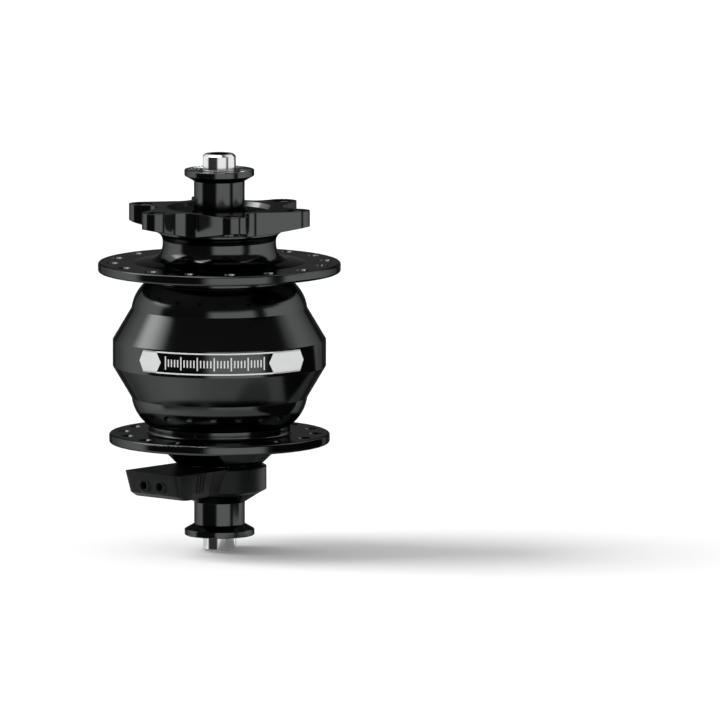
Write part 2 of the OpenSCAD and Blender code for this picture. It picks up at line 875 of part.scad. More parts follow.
// Lower cone, flange and boss, with the spigot that screws into the drum
module side_cover() {
  color("#26282a")
    rotate([0, 0, shell_turn])
      rotate([180, 0, 0])
        difference() {
          rotate_extrude()
            union() {
              polygon([
                [0, -spigot_z],
                [spigot_r, -spigot_z],
                [spigot_r, band_z],
                [drum_d / 2, band_z],
                [shoulder_d / 2, shoulder_z],
                [0, shoulder_z]
              ]);
              shoulder_section();
              flange_section(connector_flange_d / 2);
              polygon([
                [0, flange_out],
                [boss_end_d / 2 + boss_h, flange_out],
                [boss_end_d / 2, boss_z],
                [0, boss_z]
              ]);
            }
          rotate_extrude()
            polygon([
              [0, -spigot_z - over],
              [seat_r, -spigot_z - over],
              [seat_r, seat_z],
              [cavity_r, seat_z],
              [cavity_r, shoulder_z - cavity_short],
              [foot_d / 2 - foot_wall, lower_in - foot_wall],
              [bearing_od / 2 + fit, lower_in - ledge_h],
              [bearing_od / 2 + fit, lower_end],
              [lip_r, lower_end],
              [lip_r, boss_z + over],
              [0, boss_z + over]
            ]);
          spoke_cuts(connector_spoke_pcd, 0);
        }
}

// The cord between the cover and the drum
module cover_gasket() {
  color("#181818")
    rotate_extrude()
      translate([(seat_r + spigot_r) / 2, gasket_z])
        circle(d = gasket_d);
}

// The flux ring behind the magnets
module magnet_yoke() {
  color("gray")
    ring(yoke_in, yoke_out, -yoke_h / 2, yoke_h / 2);
}

// The magnets, side by side in the flux ring
module rotor_magnets() {
  color("darkgray")
    rotate([0, 0, shell_turn])
      for (i = [0:poles - 1])
        rotate([0, 0, i * 360 / poles])
          translate([0, 0, -magnet_h / 2])
            rotate_extrude(angle = 360 / poles - magnet_space)
              translate([magnet_in, 0])
                square([magnet_t, magnet_h]);
}

// The spring ring over the disc-side bearing
module bearing_clip() {
  color("silver")
    rotate([0, 0, shell_turn])
      translate([0, 0, upper_top + fit])
        rotate_extrude(angle = 360 - clip_open)
          translate([bearing_od / 2 + clip_groove - clip_w - fit, 0])
            square([clip_w, clip_t - 2 * fit]);
}

// The dust seal at the bottom of the recess
module dust_seal_disc_side() {
  color("#181818")
    rotate_extrude()
      polygon([
        [cap_tube_d / 2 + running_gap, recess_z],
        [recess_seat_d / 2 - fit, recess_z],
        [recess_seat_d / 2 - fit, recess_z + seal_t],
        [cap_tube_d / 2 + running_gap + seal_t, recess_z + seal_t],
        [cap_tube_d / 2 + running_gap, recess_z + seal_t + seal_lip]
      ]);
}

// The dust seal in the mouth of the boss
module dust_seal_connector_side() {
  color("#181818")
    ring(sleeve_d / 2 + running_gap, lip_r - fit, -boss_z + seal_inset, -lower_end - running_gap);
}

// The plug, with its pocket for the tongue, two cable entries and grip ribs
module connector_plug() {
  color("#202224")
    rotate([0, 0, 180])
      difference() {
        union() {
          intersection() {
            paddle(0);
            translate([seam_x + fit, -paddle_w, -ring_low])
              cube([paddle_reach, 2 * paddle_w, ring_h]);
          }
          intersection() {
            paddle(rib_t);
            for (i = [0:rib_count - 1])
              translate([paddle_reach - rib_set + i * rib_pitch, -paddle_w, -paddle_mid + rib_short])
                cube([rib_w, 2 * paddle_w, paddle_h - paddle_bevel_h - 2 * rib_short]);
          }
          for (s = [-1, 1])
            translate([collar_in, s * entry_pitch / 2, -entry_z])
              rotate([0, 90, 0]) {
                cylinder(h = collar_reach - collar_edge - collar_in, d = collar_d);
                translate([0, 0, collar_reach - collar_edge - collar_in])
                  cylinder(h = collar_edge, d1 = collar_d, d2 = collar_d - 2 * collar_edge);
              }
        }
        translate([seam_x - over, -tongue_w / 2 - plug_gap, -entry_z - tongue_t / 2 - plug_gap])
          cube([tongue_l + over + 2 * plug_gap, tongue_w + 2 * plug_gap, tongue_t + 2 * plug_gap]);
        for (s = [-1, 1])
          translate([collar_in - over, s * entry_pitch / 2, -entry_z])
            rotate([0, 90, 0])
              cylinder(h = paddle_reach, d = entry_d);
      }
}

axle();
disc_end_cap();
connector_end_cap();
connector_housing();
connector_terminals();
lead_wires();
connector_sleeve();
stator_core();
claw_pole_disc_side();
claw_pole_connector_side();
coil_bobbin();
coil_winding();
stator_spacer_disc_side();
stator_spacer_connector_side();
inner_race_disc_side();
inner_race_connector_side();
hub_shell();
side_cover();
cover_gasket();
magnet_yoke();
rotor_magnets();
outer_race_disc_side();
outer_race_connector_side();
bearing_seals_disc_side();
bearing_seals_connector_side();
bearing_clip();
dust_seal_disc_side();
dust_seal_connector_side();
balls_disc_side();
cage_disc_side();
balls_connector_side();
cage_connector_side();
connector_plug();
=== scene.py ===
"""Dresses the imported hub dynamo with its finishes, print and threads, and sets the studio round it."""

import json
import logging
import math
from dataclasses import dataclass
from enum import Enum
from typing import ClassVar

import bmesh
import bpy
from mathutils import Matrix, Vector


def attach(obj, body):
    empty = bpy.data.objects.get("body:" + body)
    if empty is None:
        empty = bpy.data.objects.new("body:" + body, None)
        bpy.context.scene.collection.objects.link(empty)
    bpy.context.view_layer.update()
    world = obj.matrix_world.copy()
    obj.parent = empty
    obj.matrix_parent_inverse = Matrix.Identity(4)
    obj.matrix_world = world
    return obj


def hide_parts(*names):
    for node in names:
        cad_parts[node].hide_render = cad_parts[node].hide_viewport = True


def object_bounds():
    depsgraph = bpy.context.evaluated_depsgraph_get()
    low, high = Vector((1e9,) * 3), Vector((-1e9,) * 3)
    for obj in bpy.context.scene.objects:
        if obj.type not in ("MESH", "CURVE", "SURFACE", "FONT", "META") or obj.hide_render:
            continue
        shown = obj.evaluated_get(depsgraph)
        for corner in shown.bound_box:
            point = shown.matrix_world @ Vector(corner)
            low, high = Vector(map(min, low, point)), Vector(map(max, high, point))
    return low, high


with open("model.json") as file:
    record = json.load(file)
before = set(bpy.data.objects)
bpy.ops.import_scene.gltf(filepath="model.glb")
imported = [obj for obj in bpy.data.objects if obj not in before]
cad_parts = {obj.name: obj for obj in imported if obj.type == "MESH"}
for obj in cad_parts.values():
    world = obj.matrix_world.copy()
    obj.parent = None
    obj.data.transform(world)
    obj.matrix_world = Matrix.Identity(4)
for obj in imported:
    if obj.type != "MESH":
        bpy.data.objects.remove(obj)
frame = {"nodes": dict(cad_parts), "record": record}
CAD_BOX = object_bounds()

GeometryTree = bpy.types.GeometryNodeTree
Material = bpy.types.Material
Mesh = bpy.types.Mesh
Object = bpy.types.Object
ShaderTree = bpy.types.ShaderNodeTree
Socket = bpy.types.NodeSocket
Tree = bpy.types.NodeTree
Colour = tuple[float, float, float]
Shade = float | Colour | Socket

LOG = logging.getLogger("hub_dynamo")
MM = 0.001
PHOTO_AZIMUTH = -48.0
PHOTO_ELEVATION = 7.3
# Angle about the axle that faces the camera, in degrees.
FRONT_ANGLE = PHOTO_AZIMUTH - 90.0
SHARP_ANGLE = math.radians(25.0)
# How far a finish's colour varies to each side.
TONE_SPREAD = 0.07
EDGE_SAMPLES = 8


class Texture(Enum):
    """How a surface was made, which sets the fine marks on it."""

    TURNED = "turned"
    MOULDED = "moulded"


def grey(level: float) -> tuple[float, float, float, float]:
    """Returns the opaque grey of a linear level."""
    return (level, level, level, 1.0)


def fill_inputs(tree: Tree, node: bpy.types.Node, inputs: dict[str, object]) -> None:
    """Gives inputs of a node, by their names, a value or the link to a socket."""
    for label, value in inputs.items():
        if isinstance(value, Socket):
            tree.links.new(value, node.inputs[label])
        else:
            node.inputs[label].default_value = value


def add_node(tree: Tree, kind: str | ShaderTree, inputs: dict[str, object]) -> bpy.types.Node:
    """Adds a node.

    Args:
        tree: The tree that takes the node.
        kind: Blender's name of the node, or a shader group.
        inputs: A value or a socket for each input that isn't left as it is.

    Returns:
        The node.
    """
    if isinstance(kind, str):
        node = tree.nodes.new(kind)
    else:
        node = tree.nodes.new("ShaderNodeGroup")
        node.node_tree = kind
    fill_inputs(tree, node, inputs)
    return node


def new_material(name: str, inputs: dict[str, object]) -> Material:
    """Makes a material whose one shader has the given inputs."""
    material = bpy.data.materials.new(name)
    material.use_nodes = True
    fill_inputs(material.node_tree, material.node_tree.nodes["Principled BSDF"], inputs)
    return material


def link_object(name: str, data: bpy.types.ID) -> Object:
    """Makes an object from its data, in the scene."""
    made = bpy.data.objects.new(name, data)
    bpy.context.scene.collection.objects.link(made)
    return made


def plain_mesh(name: str, made: bmesh.types.BMesh) -> Mesh:
    """Writes a working mesh into a new mesh and frees it."""
    mesh = bpy.data.meshes.new(name)
    made.to_mesh(mesh)
    made.free()
    return mesh


def smooth_mesh(name: str, made: bmesh.types.BMesh) -> Mesh:
    """Writes a working mesh into a new mesh that is smooth between its sharp edges, and frees it."""
    for face in made.faces:
        face.smooth = True
    mesh = plain_mesh(name, made)
    old_normals = mesh.attributes.get("custom_normal")
    if old_normals:
        mesh.attributes.remove(old_normals)
    mesh.set_sharp_from_angle(angle=SHARP_ANGLE)
    return mesh


def new_group(name: str, inputs: dict[str, float], outputs: list[str]) -> ShaderTree:
    """Starts a shader group with float sockets.

    Args:
        name: The group's name.
        inputs: Input names with their default values.
        outputs: Output names.

    Returns:
        The new group, with its input and output nodes in place.
    """
    group = bpy.data.node_groups.new(name, "ShaderNodeTree")
    group.interface.new_socket("Vector", in_out="INPUT", socket_type="NodeSocketVector")
    for label, default in inputs.items():
        socket = group.interface.new_socket(label, in_out="INPUT", socket_type="NodeSocketFloat")
        socket.default_value = default
    for label in outputs:
        group.interface.new_socket(label, in_out="OUTPUT", socket_type="NodeSocketFloat")
    group.nodes.new("NodeGroupInput").name = "in"
    group.nodes.new("NodeGroupOutput").name = "out"
    return group


def add_math(tree: Tree, operation: str, *values: float | Socket) -> Socket:
    """Adds a math node.

    Args:
        tree: The tree that takes the node.
        operation: Blender's name of the operation.
        values: Numbers or sockets for its inputs, in order.

    Returns:
        The node's output socket.
    """
    node = tree.nodes.new("ShaderNodeMath")
    node.operation = operation
    for socket, value in zip(node.inputs, values):
        if isinstance(value, (int, float)):
            socket.default_value = value
        else:
            tree.links.new(value, socket)
    return node.outputs[0]


def add_radius(tree: Tree, vector: Socket) -> tuple[Socket, Socket]:
    """Adds the nodes that measure a place from the axle.

    Args:
        tree: The tree that takes the nodes.
        vector: Socket of the place.

    Returns:
        Sockets of its radius and of its height.
    """
    split = add_node(tree, "ShaderNodeSeparateXYZ", {"Vector": vector})
    square_x = add_math(tree, "MULTIPLY", split.outputs["X"], split.outputs["X"])
    square_y = add_math(tree, "MULTIPLY", split.outputs["Y"], split.outputs["Y"])
    return add_math(tree, "SQRT", add_math(tree, "ADD", square_x, square_y)), split.outputs["Z"]


def add_patches(group: ShaderTree, detail: float) -> Socket:
    """Adds soft patches by a group's Vector and Patch inputs.

    Args:
        group: The group that takes the node.
        detail: Number of finer layers in them.

    Returns:
        The socket of their level, from 0 to 1.
    """
    source = group.nodes["in"].outputs
    inputs = {"Vector": source["Vector"], "Scale": source["Patch"], "Detail": detail}
    return add_node(group, "ShaderNodeTexNoise", inputs).outputs["Fac"]


def blend(tree: Tree, factor: Socket, low: Shade, high: Shade) -> Socket:
    """Adds a colour mix.

    Args:
        tree: The tree that takes the node.
        factor: Socket of the second colour's share.
        low: First colour: a grey level, a linear colour or a socket.
        high: Second colour, given in the same way.

    Returns:
        The mix's colour output.
    """
    mix = tree.nodes.new("ShaderNodeMix")
    mix.data_type = "RGBA"
    tree.links.new(factor, mix.inputs["Factor"])
    for label, value in (("A", low), ("B", high)):
        socket = next(s for s in mix.inputs if s.name == label and s.type == "RGBA")
        if isinstance(value, float):
            socket.default_value = grey(value)
        elif isinstance(value, tuple):
            socket.default_value = (*value, 1.0)
        else:
            tree.links.new(value, socket)
    return next(s for s in mix.outputs if s.type == "RGBA")


def ring_zone_group() -> ShaderTree:
    """Builds the mask of a ring about the axle.

    Returns:
        A group with Inside, 1 between its radii and heights and 0 elsewhere.
    """
    group = new_group("ring_zone", {"Inner": 0.0, "Outer": 1.0, "Low": -1.0, "High": 1.0}, ["Inside"])
    source = group.nodes["in"].outputs
    radius, height = add_radius(group, source["Vector"])
    past_inner = add_math(group, "GREATER_THAN", radius, source["Inner"])
    within_outer = add_math(group, "LESS_THAN", radius, source["Outer"])
    over_low = add_math(group, "GREATER_THAN", height, source["Low"])
    under_high = add_math(group, "LESS_THAN", height, source["High"])
    across = add_math(group, "MULTIPLY", past_inner, within_outer)
    along = add_math(group, "MULTIPLY", over_low, under_high)
    fill_inputs(group, group.nodes["out"], {"Inside": add_math(group, "MULTIPLY", across, along)})
    return group


def turned_marks_group() -> ShaderTree:
    """Builds the marks that a lathe leaves round the axle.

    Returns:
        A group with Height and Tone, both from 0 to 1.
    """
    group = new_group("turned_marks", {"Pitch": 0.0002, "Patch": 900.0}, ["Height", "Tone"])
    source = group.nodes["in"].outputs
    radius, height = add_radius(group, source["Vector"])
    along = add_math(group, "ADD", radius, height)
    across = add_math(group, "SUBTRACT", radius, height)
    joined = add_node(group, "ShaderNodeCombineXYZ", {
        "X": add_math(group, "DIVIDE", along, source["Pitch"]),
        "Y": add_math(group, "DIVIDE", across, source["Pitch"]),
    })
    rings = add_node(group, "ShaderNodeTexNoise", {
        "Vector": joined.outputs["Vector"], "Scale": 1.0, "Detail": 1.0,
    }).outputs["Fac"]
    half_patches = add_math(group, "MULTIPLY", add_patches(group, 3.0), 0.5)
    tone = add_math(group, "MULTIPLY_ADD", rings, 0.5, half_patches)
    fill_inputs(group, group.nodes["out"], {"Height": rings, "Tone": tone})
    return group


def moulded_grain_group() -> ShaderTree:
    """Builds the fine spark-eroded grain of a moulded surface.

    Returns:
        A group with Height and Tone, both from 0 to 1.
    """
    group = new_group("moulded_grain", {"Pitch": 0.0003, "Patch": 120.0}, ["Height", "Tone"])
    source = group.nodes["in"].outputs
    pits = add_node(group, "ShaderNodeTexVoronoi", {
        "Vector": source["Vector"], "Scale": add_math(group, "DIVIDE", 1.0, source["Pitch"]),
    })
    pits.feature = "SMOOTH_F1"
    tone = add_patches(group, 4.0)
    fill_inputs(group, group.nodes["out"], {"Height": pits.outputs["Distance"], "Tone": tone})
    return group


@dataclass(frozen=True)
class Zone:
    """A ring of a surface with a colour of its own; here the rings paint shade, or a glint or highlight, on
    the metal.

    Attributes:
        inner: Inner radius about the axle, in metres.
        outer: Outer radius, in metres.
        low: Lower height, in metres.
        high: Upper height, in metres.
        colour: Linear base colour inside the ring.
    """

    inner: float
    outer: float
    low: float
    high: float
    colour: Colour

    def tint(self, tree: Tree, ring: ShaderTree, place: Socket, under: Socket) -> Socket:
        """Lays the zone's colour over another.

        Args:
            tree: The material's tree.
            ring: The shader group that masks a ring.
            place: Socket of the object coordinates.
            under: Socket of the colour elsewhere.

        Returns:
            The socket of the mixed colour.
        """
        mask = add_node(tree, ring, {
            "Vector": place, "Inner": self.inner, "Outer": self.outer, "Low": self.low, "High": self.high,
        })
        return blend(tree, mask.outputs["Inside"], under, self.colour)


@dataclass(frozen=True)
class Finish:
    """One surface finish, built as a material with fine marks of its own.

    Attributes:
        slot: The record's material slot.
        colour: Linear base colour.
        roughness: Middle roughness.
        spread: How far the roughness varies to each side.
        metallic: 1 for bare metal, 0 for plastic, rubber and print.
        texture: Which marks the surface carries.
        pitch: Distance between marks, in metres.
        relief: Strength of the bump, from 0 to 1.
        edge: Radius to which sharp edges are eased, in metres.
        edge_tint: Brightness of metal seen edge-on.
        gloss: Specular level of plastic, rubber and print.
        zones: Rings of the surface with a colour of their own, used here for painted shade and painted
            highlights.
    """

    slot: str
    colour: Colour
    roughness: float
    spread: float = 0.05
    metallic: float = 0.0
    texture: Texture = Texture.MOULDED
    pitch: float = 0.3 * MM
    relief: float = 0.05
    edge: float = 0.0
    edge_tint: float = 1.0
    gloss: float = 0.5
    zones: tuple[Zone, ...] = ()

    def build(self, groups: dict[Texture, ShaderTree], ring: ShaderTree) -> Material:
        """Builds the material.

        Args:
            groups: The shader group of each texture.
            ring: The shader group that masks a ring.

        Returns:
            The finished material, named after its slot.
        """
        material = new_material(self.slot, {
            "Metallic": self.metallic,
            "Specular IOR Level": self.gloss,
            "Specular Tint": grey(self.edge_tint),
        })
        tree = material.node_tree
        place = tree.nodes.new("ShaderNodeTexCoord").outputs["Object"]
        marks = add_node(tree, groups[self.texture], {"Vector": place, "Pitch": self.pitch}).outputs
        darker = tuple((1.0 - TONE_SPREAD) * c for c in self.colour)
        lighter = tuple((1.0 + TONE_SPREAD) * c for c in self.colour)
        colour = blend(tree, marks["Tone"], darker, lighter)
        for zone in self.zones:
            colour = zone.tint(tree, ring, place, colour)
        rough = add_node(tree, "ShaderNodeMapRange", {
            "Value": marks["Tone"],
            "To Min": self.roughness - self.spread,
            "To Max": self.roughness + self.spread,
        })
        bump = add_node(tree, "ShaderNodeBump", {
            "Strength": self.relief, "Distance": self.pitch, "Height": marks["Height"],
        })
        if self.edge > 0.0:
            eased = add_node(tree, "ShaderNodeBevel", {"Radius": self.edge})
            eased.samples = EDGE_SAMPLES
            fill_inputs(tree, bump, {"Normal": eased.outputs["Normal"]})
        fill_inputs(tree, tree.nodes["Principled BSDF"], {
            "Base Color": colour, "Roughness": rough.outputs["Result"], "Normal": bump.outputs["Normal"],
        })
        return material


# Near-white metal for the serrations' groove walls on the end caps: bare cut metal, and a painted glint that
# brightens the serrations as well.
BARE_METAL_AND_GLINT = (0.95, 0.95, 0.96)
# A painted highlight: lighter metal on the wall of the disc-side recess.
PAINTED_LIP_HIGHLIGHT = (0.16, 0.163, 0.162)
# Zones of painted glint and painted highlight on the black anodised metal.
PAINTED_HIGHLIGHT_ZONES = (
    Zone(5.6 * MM, 9.0 * MM, 49.85 * MM, 49.97 * MM, BARE_METAL_AND_GLINT),
    Zone(5.6 * MM, 9.0 * MM, -49.97 * MM, -49.85 * MM, BARE_METAL_AND_GLINT),
    Zone(12.5 * MM, 14.5 * MM, 36.6 * MM, 39.65 * MM, PAINTED_LIP_HIGHLIGHT),
)
# Painted shade: near-black in the axle's bore and in the gaps at its shoulders under the end caps, where
# shade falls.
PAINTED_SHADE = (0.012, 0.012, 0.012)
PAINTED_SHADE_ZONES = (
    Zone(0.0, 2.7 * MM, -60.0 * MM, 60.0 * MM, PAINTED_SHADE),
    Zone(4.56 * MM, 6.0 * MM, 45.0 * MM, 50.6 * MM, PAINTED_SHADE),
    Zone(4.56 * MM, 6.0 * MM, -50.6 * MM, -45.0 * MM, PAINTED_SHADE),
)
FINISHES = [
    Finish(
        "black_anodised", (0.087, 0.0905, 0.0895), roughness=0.13, spread=0.03, metallic=1.0,
        texture=Texture.TURNED, pitch=0.12 * MM, relief=0.03, edge=0.08 * MM, edge_tint=0.35,
        zones=PAINTED_HIGHLIGHT_ZONES,
    ),
    Finish(
        "bright_steel", (0.8, 0.8, 0.81), roughness=0.14, spread=0.04, metallic=1.0,
        texture=Texture.TURNED, pitch=0.12 * MM, edge=0.15 * MM, zones=PAINTED_SHADE_ZONES,
    ),
    Finish(
        "connector_plastic", (0.0064, 0.0074, 0.0072), roughness=0.36, pitch=0.25 * MM, relief=0.12,
        edge=0.3 * MM, gloss=0.17,
    ),
    Finish("contact_brass", (0.7, 0.48, 0.16), roughness=0.28, metallic=1.0, pitch=0.4 * MM),
    Finish("lead_insulation", (0.28, 0.02, 0.02), roughness=0.45),
    Finish("electrical_steel", (0.36, 0.37, 0.39), roughness=0.4, spread=0.08, metallic=1.0, relief=0.1),
    Finish("bobbin_plastic", (0.62, 0.58, 0.46), roughness=0.5),
    Finish(
        "copper_wire", (0.62, 0.24, 0.1), roughness=0.3, spread=0.08, metallic=1.0,
        texture=Texture.TURNED, pitch=0.5 * MM, relief=0.3,
    ),
    Finish(
        "bearing_steel", (0.74, 0.74, 0.76), roughness=0.12, spread=0.03, metallic=1.0,
        texture=Texture.TURNED, pitch=0.1 * MM, relief=0.04,
    ),
    Finish("seal_rubber", (0.008, 0.008, 0.0085), roughness=0.8, spread=0.08, relief=0.15, gloss=0.06),
    Finish("magnet_plating", (0.55, 0.55, 0.58), roughness=0.25, metallic=1.0),
    Finish("cage_plastic", (0.48, 0.38, 0.22), roughness=0.5, spread=0.06, relief=0.08),
    Finish("silver_print", (0.78, 0.785, 0.79), roughness=0.6, pitch=0.2 * MM, gloss=0.05),
]


def mesh_piece(name: str, mesh: Mesh, body: str, material: Material) -> Object:
    """Makes a piece of the object from a mesh that is already in place.

    Args:
        name: The piece's name.
        mesh: Its mesh, in the row frame.
        body: The body that it rides on.
        material: Its material.

    Returns:
        The linked object.
    """
    piece = link_object(name, mesh)
    mesh.materials.clear()
    mesh.materials.append(material)
    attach(piece, body)
    LOG.info("made %s with %d faces", name, len(mesh.polygons))
    return piece


def lathe(name: str, outline: list[tuple[float, float]], steps: int = 144) -> Mesh:
    """Turns a closed outline about the axle.

    Args:
        name: The mesh's name.
        outline: Radius and height of each corner, in order round the outline, in metres.
        steps: Number of steps round the axle.

    Returns:
        The closed mesh, smooth along its curves.
    """
    made = bmesh.new()
    rows = []
    for i in range(steps):
        angle = 2.0 * math.pi * i / steps
        rows.append([made.verts.new((r * math.cos(angle), r * math.sin(angle), z)) for r, z in outline])
    for row, after in zip(rows, rows[1:] + rows[:1]):
        for j in range(len(outline)):
            k = (j + 1) % len(outline)
            made.faces.new((row[j], after[j], after[k], row[k]))
    bmesh.ops.recalc_face_normals(made, faces=made.faces)
    return smooth_mesh(name, made)


def new_tree(name: str, inputs: dict[str, str]) -> GeometryTree:
    """Starts a geometry node tree.

    Args:
        name: The tree's name.
        inputs: Input names with their kinds: Float, Int or Vector.

    Returns:
        The tree, with its named inputs and one geometry output.
    """
    tree = bpy.data.node_groups.new(name, "GeometryNodeTree")
    for label, kind in inputs.items():
        tree.interface.new_socket(label, in_out="INPUT", socket_type=f"NodeSocket{kind}")
    tree.interface.new_socket("Geometry", in_out="OUTPUT", socket_type="NodeSocketGeometry")
    return tree


def close_tree(tree: GeometryTree, instances: Socket, material: Material) -> None:
    """Ends a tree: its instances rise and turn by the Height and Turn inputs, become real and are painted.

    Args:
        tree: The tree.
        instances: The instances that it has placed round the axle.
        material: Their material.
    """
    source = tree.nodes["Group Input"].outputs
    raise_by = add_node(tree, "ShaderNodeCombineXYZ", {"Z": source["Height"]})
    turn_by = add_node(tree, "ShaderNodeCombineXYZ", {"Z": source["Turn"]})
    lift = add_node(tree, "GeometryNodeTransform", {
        "Geometry": instances,
        "Translation": raise_by.outputs["Vector"],
        "Rotation": turn_by.outputs["Vector"],
    })
    real = add_node(tree, "GeometryNodeRealizeInstances", {"Geometry": lift.outputs["Geometry"]})
    paint = add_node(tree, "GeometryNodeSetMaterial", {
        "Geometry": real.outputs["Geometry"], "Material": material,
    })
    add_node(tree, "NodeGroupOutput", {"Geometry": paint.outputs["Geometry"]})


def run_tree(tree: GeometryTree, values: dict[str, object]) -> Mesh:
    """Runs a tree on an empty mesh.

    Args:
        tree: The tree.
        values: The value of each of its named inputs.

    Returns:
        The result as a plain mesh.
    """
    holder = link_object("holder", bpy.data.meshes.new("holder"))
    modifier = holder.modifiers.new("nodes", "NODES")
    modifier.node_group = tree
    for item in tree.interface.items_tree:
        if item.in_out == "INPUT":
            modifier[item.identifier] = values[item.name]
    graph = bpy.context.evaluated_depsgraph_get()
    mesh = bpy.data.meshes.new_from_object(holder.evaluated_get(graph), depsgraph=graph)
    holder.modifiers.remove(modifier)
    bpy.data.objects.remove(holder)
    return mesh


@dataclass
class PrintedBand:
    """The silver mark round the drum's front: two rules, two pointed end blocks and a plain scale between.

    Attributes:
        radius: Radius of the drum's band, in metres.
        start: Angle of the left end about the axle, in degrees.
        sweep: Angle that the mark covers, in degrees.
        low: Height of the lower edge, in metres.
        high: Height of the upper edge, in metres.
        rule: Height of the two rules, in metres.
        left_block: Angle that the left end block covers, in degrees.
        right_block: Angle that the right end block covers, in degrees.
        point: Angle that a block's pointed end covers, in degrees.
        tip: Height of a block's tip, as a part of the block's height.
        space: Angle left plain between a block and the scale, in degrees.
        ticks: Number of marks on the scale.
        tall_every: One mark in this many is taller.
        taller: How much taller it is, as a part of a short mark's height.
        tick_width: Width of one mark, in metres.
        tick_height: Height of a short mark, in metres.
        proud: How far the mark stands off the band, in metres.
    """

    ARC_POINTS: ClassVar[int] = 181

    radius: float
    start: float = FRONT_ANGLE - 48.0
    sweep: float = 100.0
    low: float = -2.8 * MM
    high: float = 3.2 * MM
    rule: float = 0.38 * MM
    left_block: float = 15.0
    right_block: float = 24.0
    point: float = 3.0
    tip: float = 0.02
    space: float = 3.0
    ticks: int = 31
    tall_every: float = 5.0
    taller: float = 0.8
    tick_width: float = 0.36 * MM
    tick_height: float = 2.0 * MM
    proud: float = 0.02 * MM

    def arc_plate(self, columns: list[tuple[float, float, float]]) -> Mesh:
        """Builds a thin closed plate that follows the band.

        Args:
            columns: Angle in degrees, lower edge and upper edge, from left to right.

        Returns:
            The mesh.
        """
        made = bmesh.new()
        inner, outer = self.radius - self.proud, self.radius + self.proud
        rows = []
        for degrees, low, high in columns:
            across, along = math.cos(math.radians(degrees)), math.sin(math.radians(degrees))
            corners = ((inner, low), (outer, low), (outer, high), (inner, high))
            rows.append([made.verts.new((r * across, r * along, height)) for r, height in corners])
        for a, b in zip(rows, rows[1:]):
            for i, j in ((0, 1), (1, 2), (2, 3), (3, 0)):
                made.faces.new((a[i], b[i], b[j], a[j]))
        made.faces.new(rows[0])
        made.faces.new(rows[-1][::-1])
        bmesh.ops.recalc_face_normals(made, faces=made.faces)
        return plain_mesh("arc_plate", made)

    def rule_plate(self, low: float) -> Mesh:
        """Builds one rule between the blocks' corners, from its lower edge up."""
        start = self.start + self.point
        length = self.sweep - 2.0 * self.point
        steps = round(length)
        return self.arc_plate([(start + length * i / steps, low, low + self.rule) for i in range(steps + 1)])

    def block_plate(self, start: float, length: float) -> Mesh:
        """Builds one end block with a point at each end, from its left tip on."""
        middle = (self.low + self.high) / 2.0
        half = (self.high - self.low) / 2.0
        steps = round(length)
        columns = []
        for i in range(steps + 1):
            turn = length * i / steps
            tall = half * min(1.0, max(self.tip, min(turn, length - turn) / self.point))
            columns.append((start + turn, middle - tall, middle + tall))
        return self.arc_plate(columns)

    def scale_tree(self, material: Material) -> GeometryTree:
        """Builds the geometry nodes that set the marks of the scale along an arc, some of them taller.

        Args:
            material: The material of the marks.

        Returns:
            The tree, with named inputs for its sizes.
        """
        tree = new_tree("scale_marks", {
            "Radius": "Float", "Sweep": "Float", "Count": "Int", "Mark Size": "Vector", "Tall": "Float",
            "Height": "Float", "Turn": "Float",
        })
        source = tree.nodes.new("NodeGroupInput").outputs
        arc = add_node(tree, "GeometryNodeCurveArc", {
            "Resolution": self.ARC_POINTS, "Radius": source["Radius"], "Start Angle": 0.0,
            "Sweep Angle": source["Sweep"],
        })
        spread = add_node(tree, "GeometryNodeCurveToPoints", {
            "Curve": arc.outputs["Curve"], "Count": source["Count"],
        })
        index = tree.nodes.new("GeometryNodeInputIndex").outputs["Index"]
        is_tall = add_math(tree, "LESS_THAN", add_math(tree, "MODULO", index, self.tall_every), 0.5)
        more = add_math(tree, "MULTIPLY", is_tall, source["Tall"])
        tall = add_math(tree, "ADD", more, 1.0)
        stretch = add_node(tree, "ShaderNodeCombineXYZ", {"X": 1.0, "Y": 1.0, "Z": tall})
        position = tree.nodes.new("GeometryNodeInputPosition").outputs["Position"]
        facing = add_node(tree, "FunctionNodeAlignRotationToVector", {"Vector": position})
        facing.axis = "X"
        facing.pivot_axis = "Z"
        mark = add_node(tree, "GeometryNodeMeshCube", {"Size": source["Mark Size"]})
        place = add_node(tree, "GeometryNodeInstanceOnPoints", {
            "Points": spread.outputs["Points"], "Instance": mark.outputs["Mesh"],
            "Rotation": facing.outputs["Rotation"], "Scale": stretch.outputs["Vector"],
        })
        close_tree(tree, place.outputs["Instances"], material)
        return tree

    def build(self, material: Material) -> None:
        """Makes every piece of the mark on the turning hub.

        Args:
            material: The silver print.
        """
        end = self.start + self.sweep
        scale = run_tree(self.scale_tree(material), {
            "Radius": self.radius,
            "Sweep": math.radians(self.sweep - self.left_block - self.right_block - 2.0 * self.space),
            "Count": self.ticks,
            "Mark Size": (2.0 * self.proud, self.tick_width, self.tick_height),
            "Tall": self.taller,
            "Height": (self.low + self.high) / 2.0,
            "Turn": math.radians(self.start + self.left_block + self.space),
        })
        plates = {
            "print_rule_high": self.rule_plate(self.high - self.rule),
            "print_rule_low": self.rule_plate(self.low),
            "print_block_left": self.block_plate(self.start, self.left_block),
            "print_block_right": self.block_plate(end - self.right_block, self.right_block),
            "print_scale": scale,
        }
        for name, mesh in plates.items():
            mesh_piece(name, mesh, "hub", material)


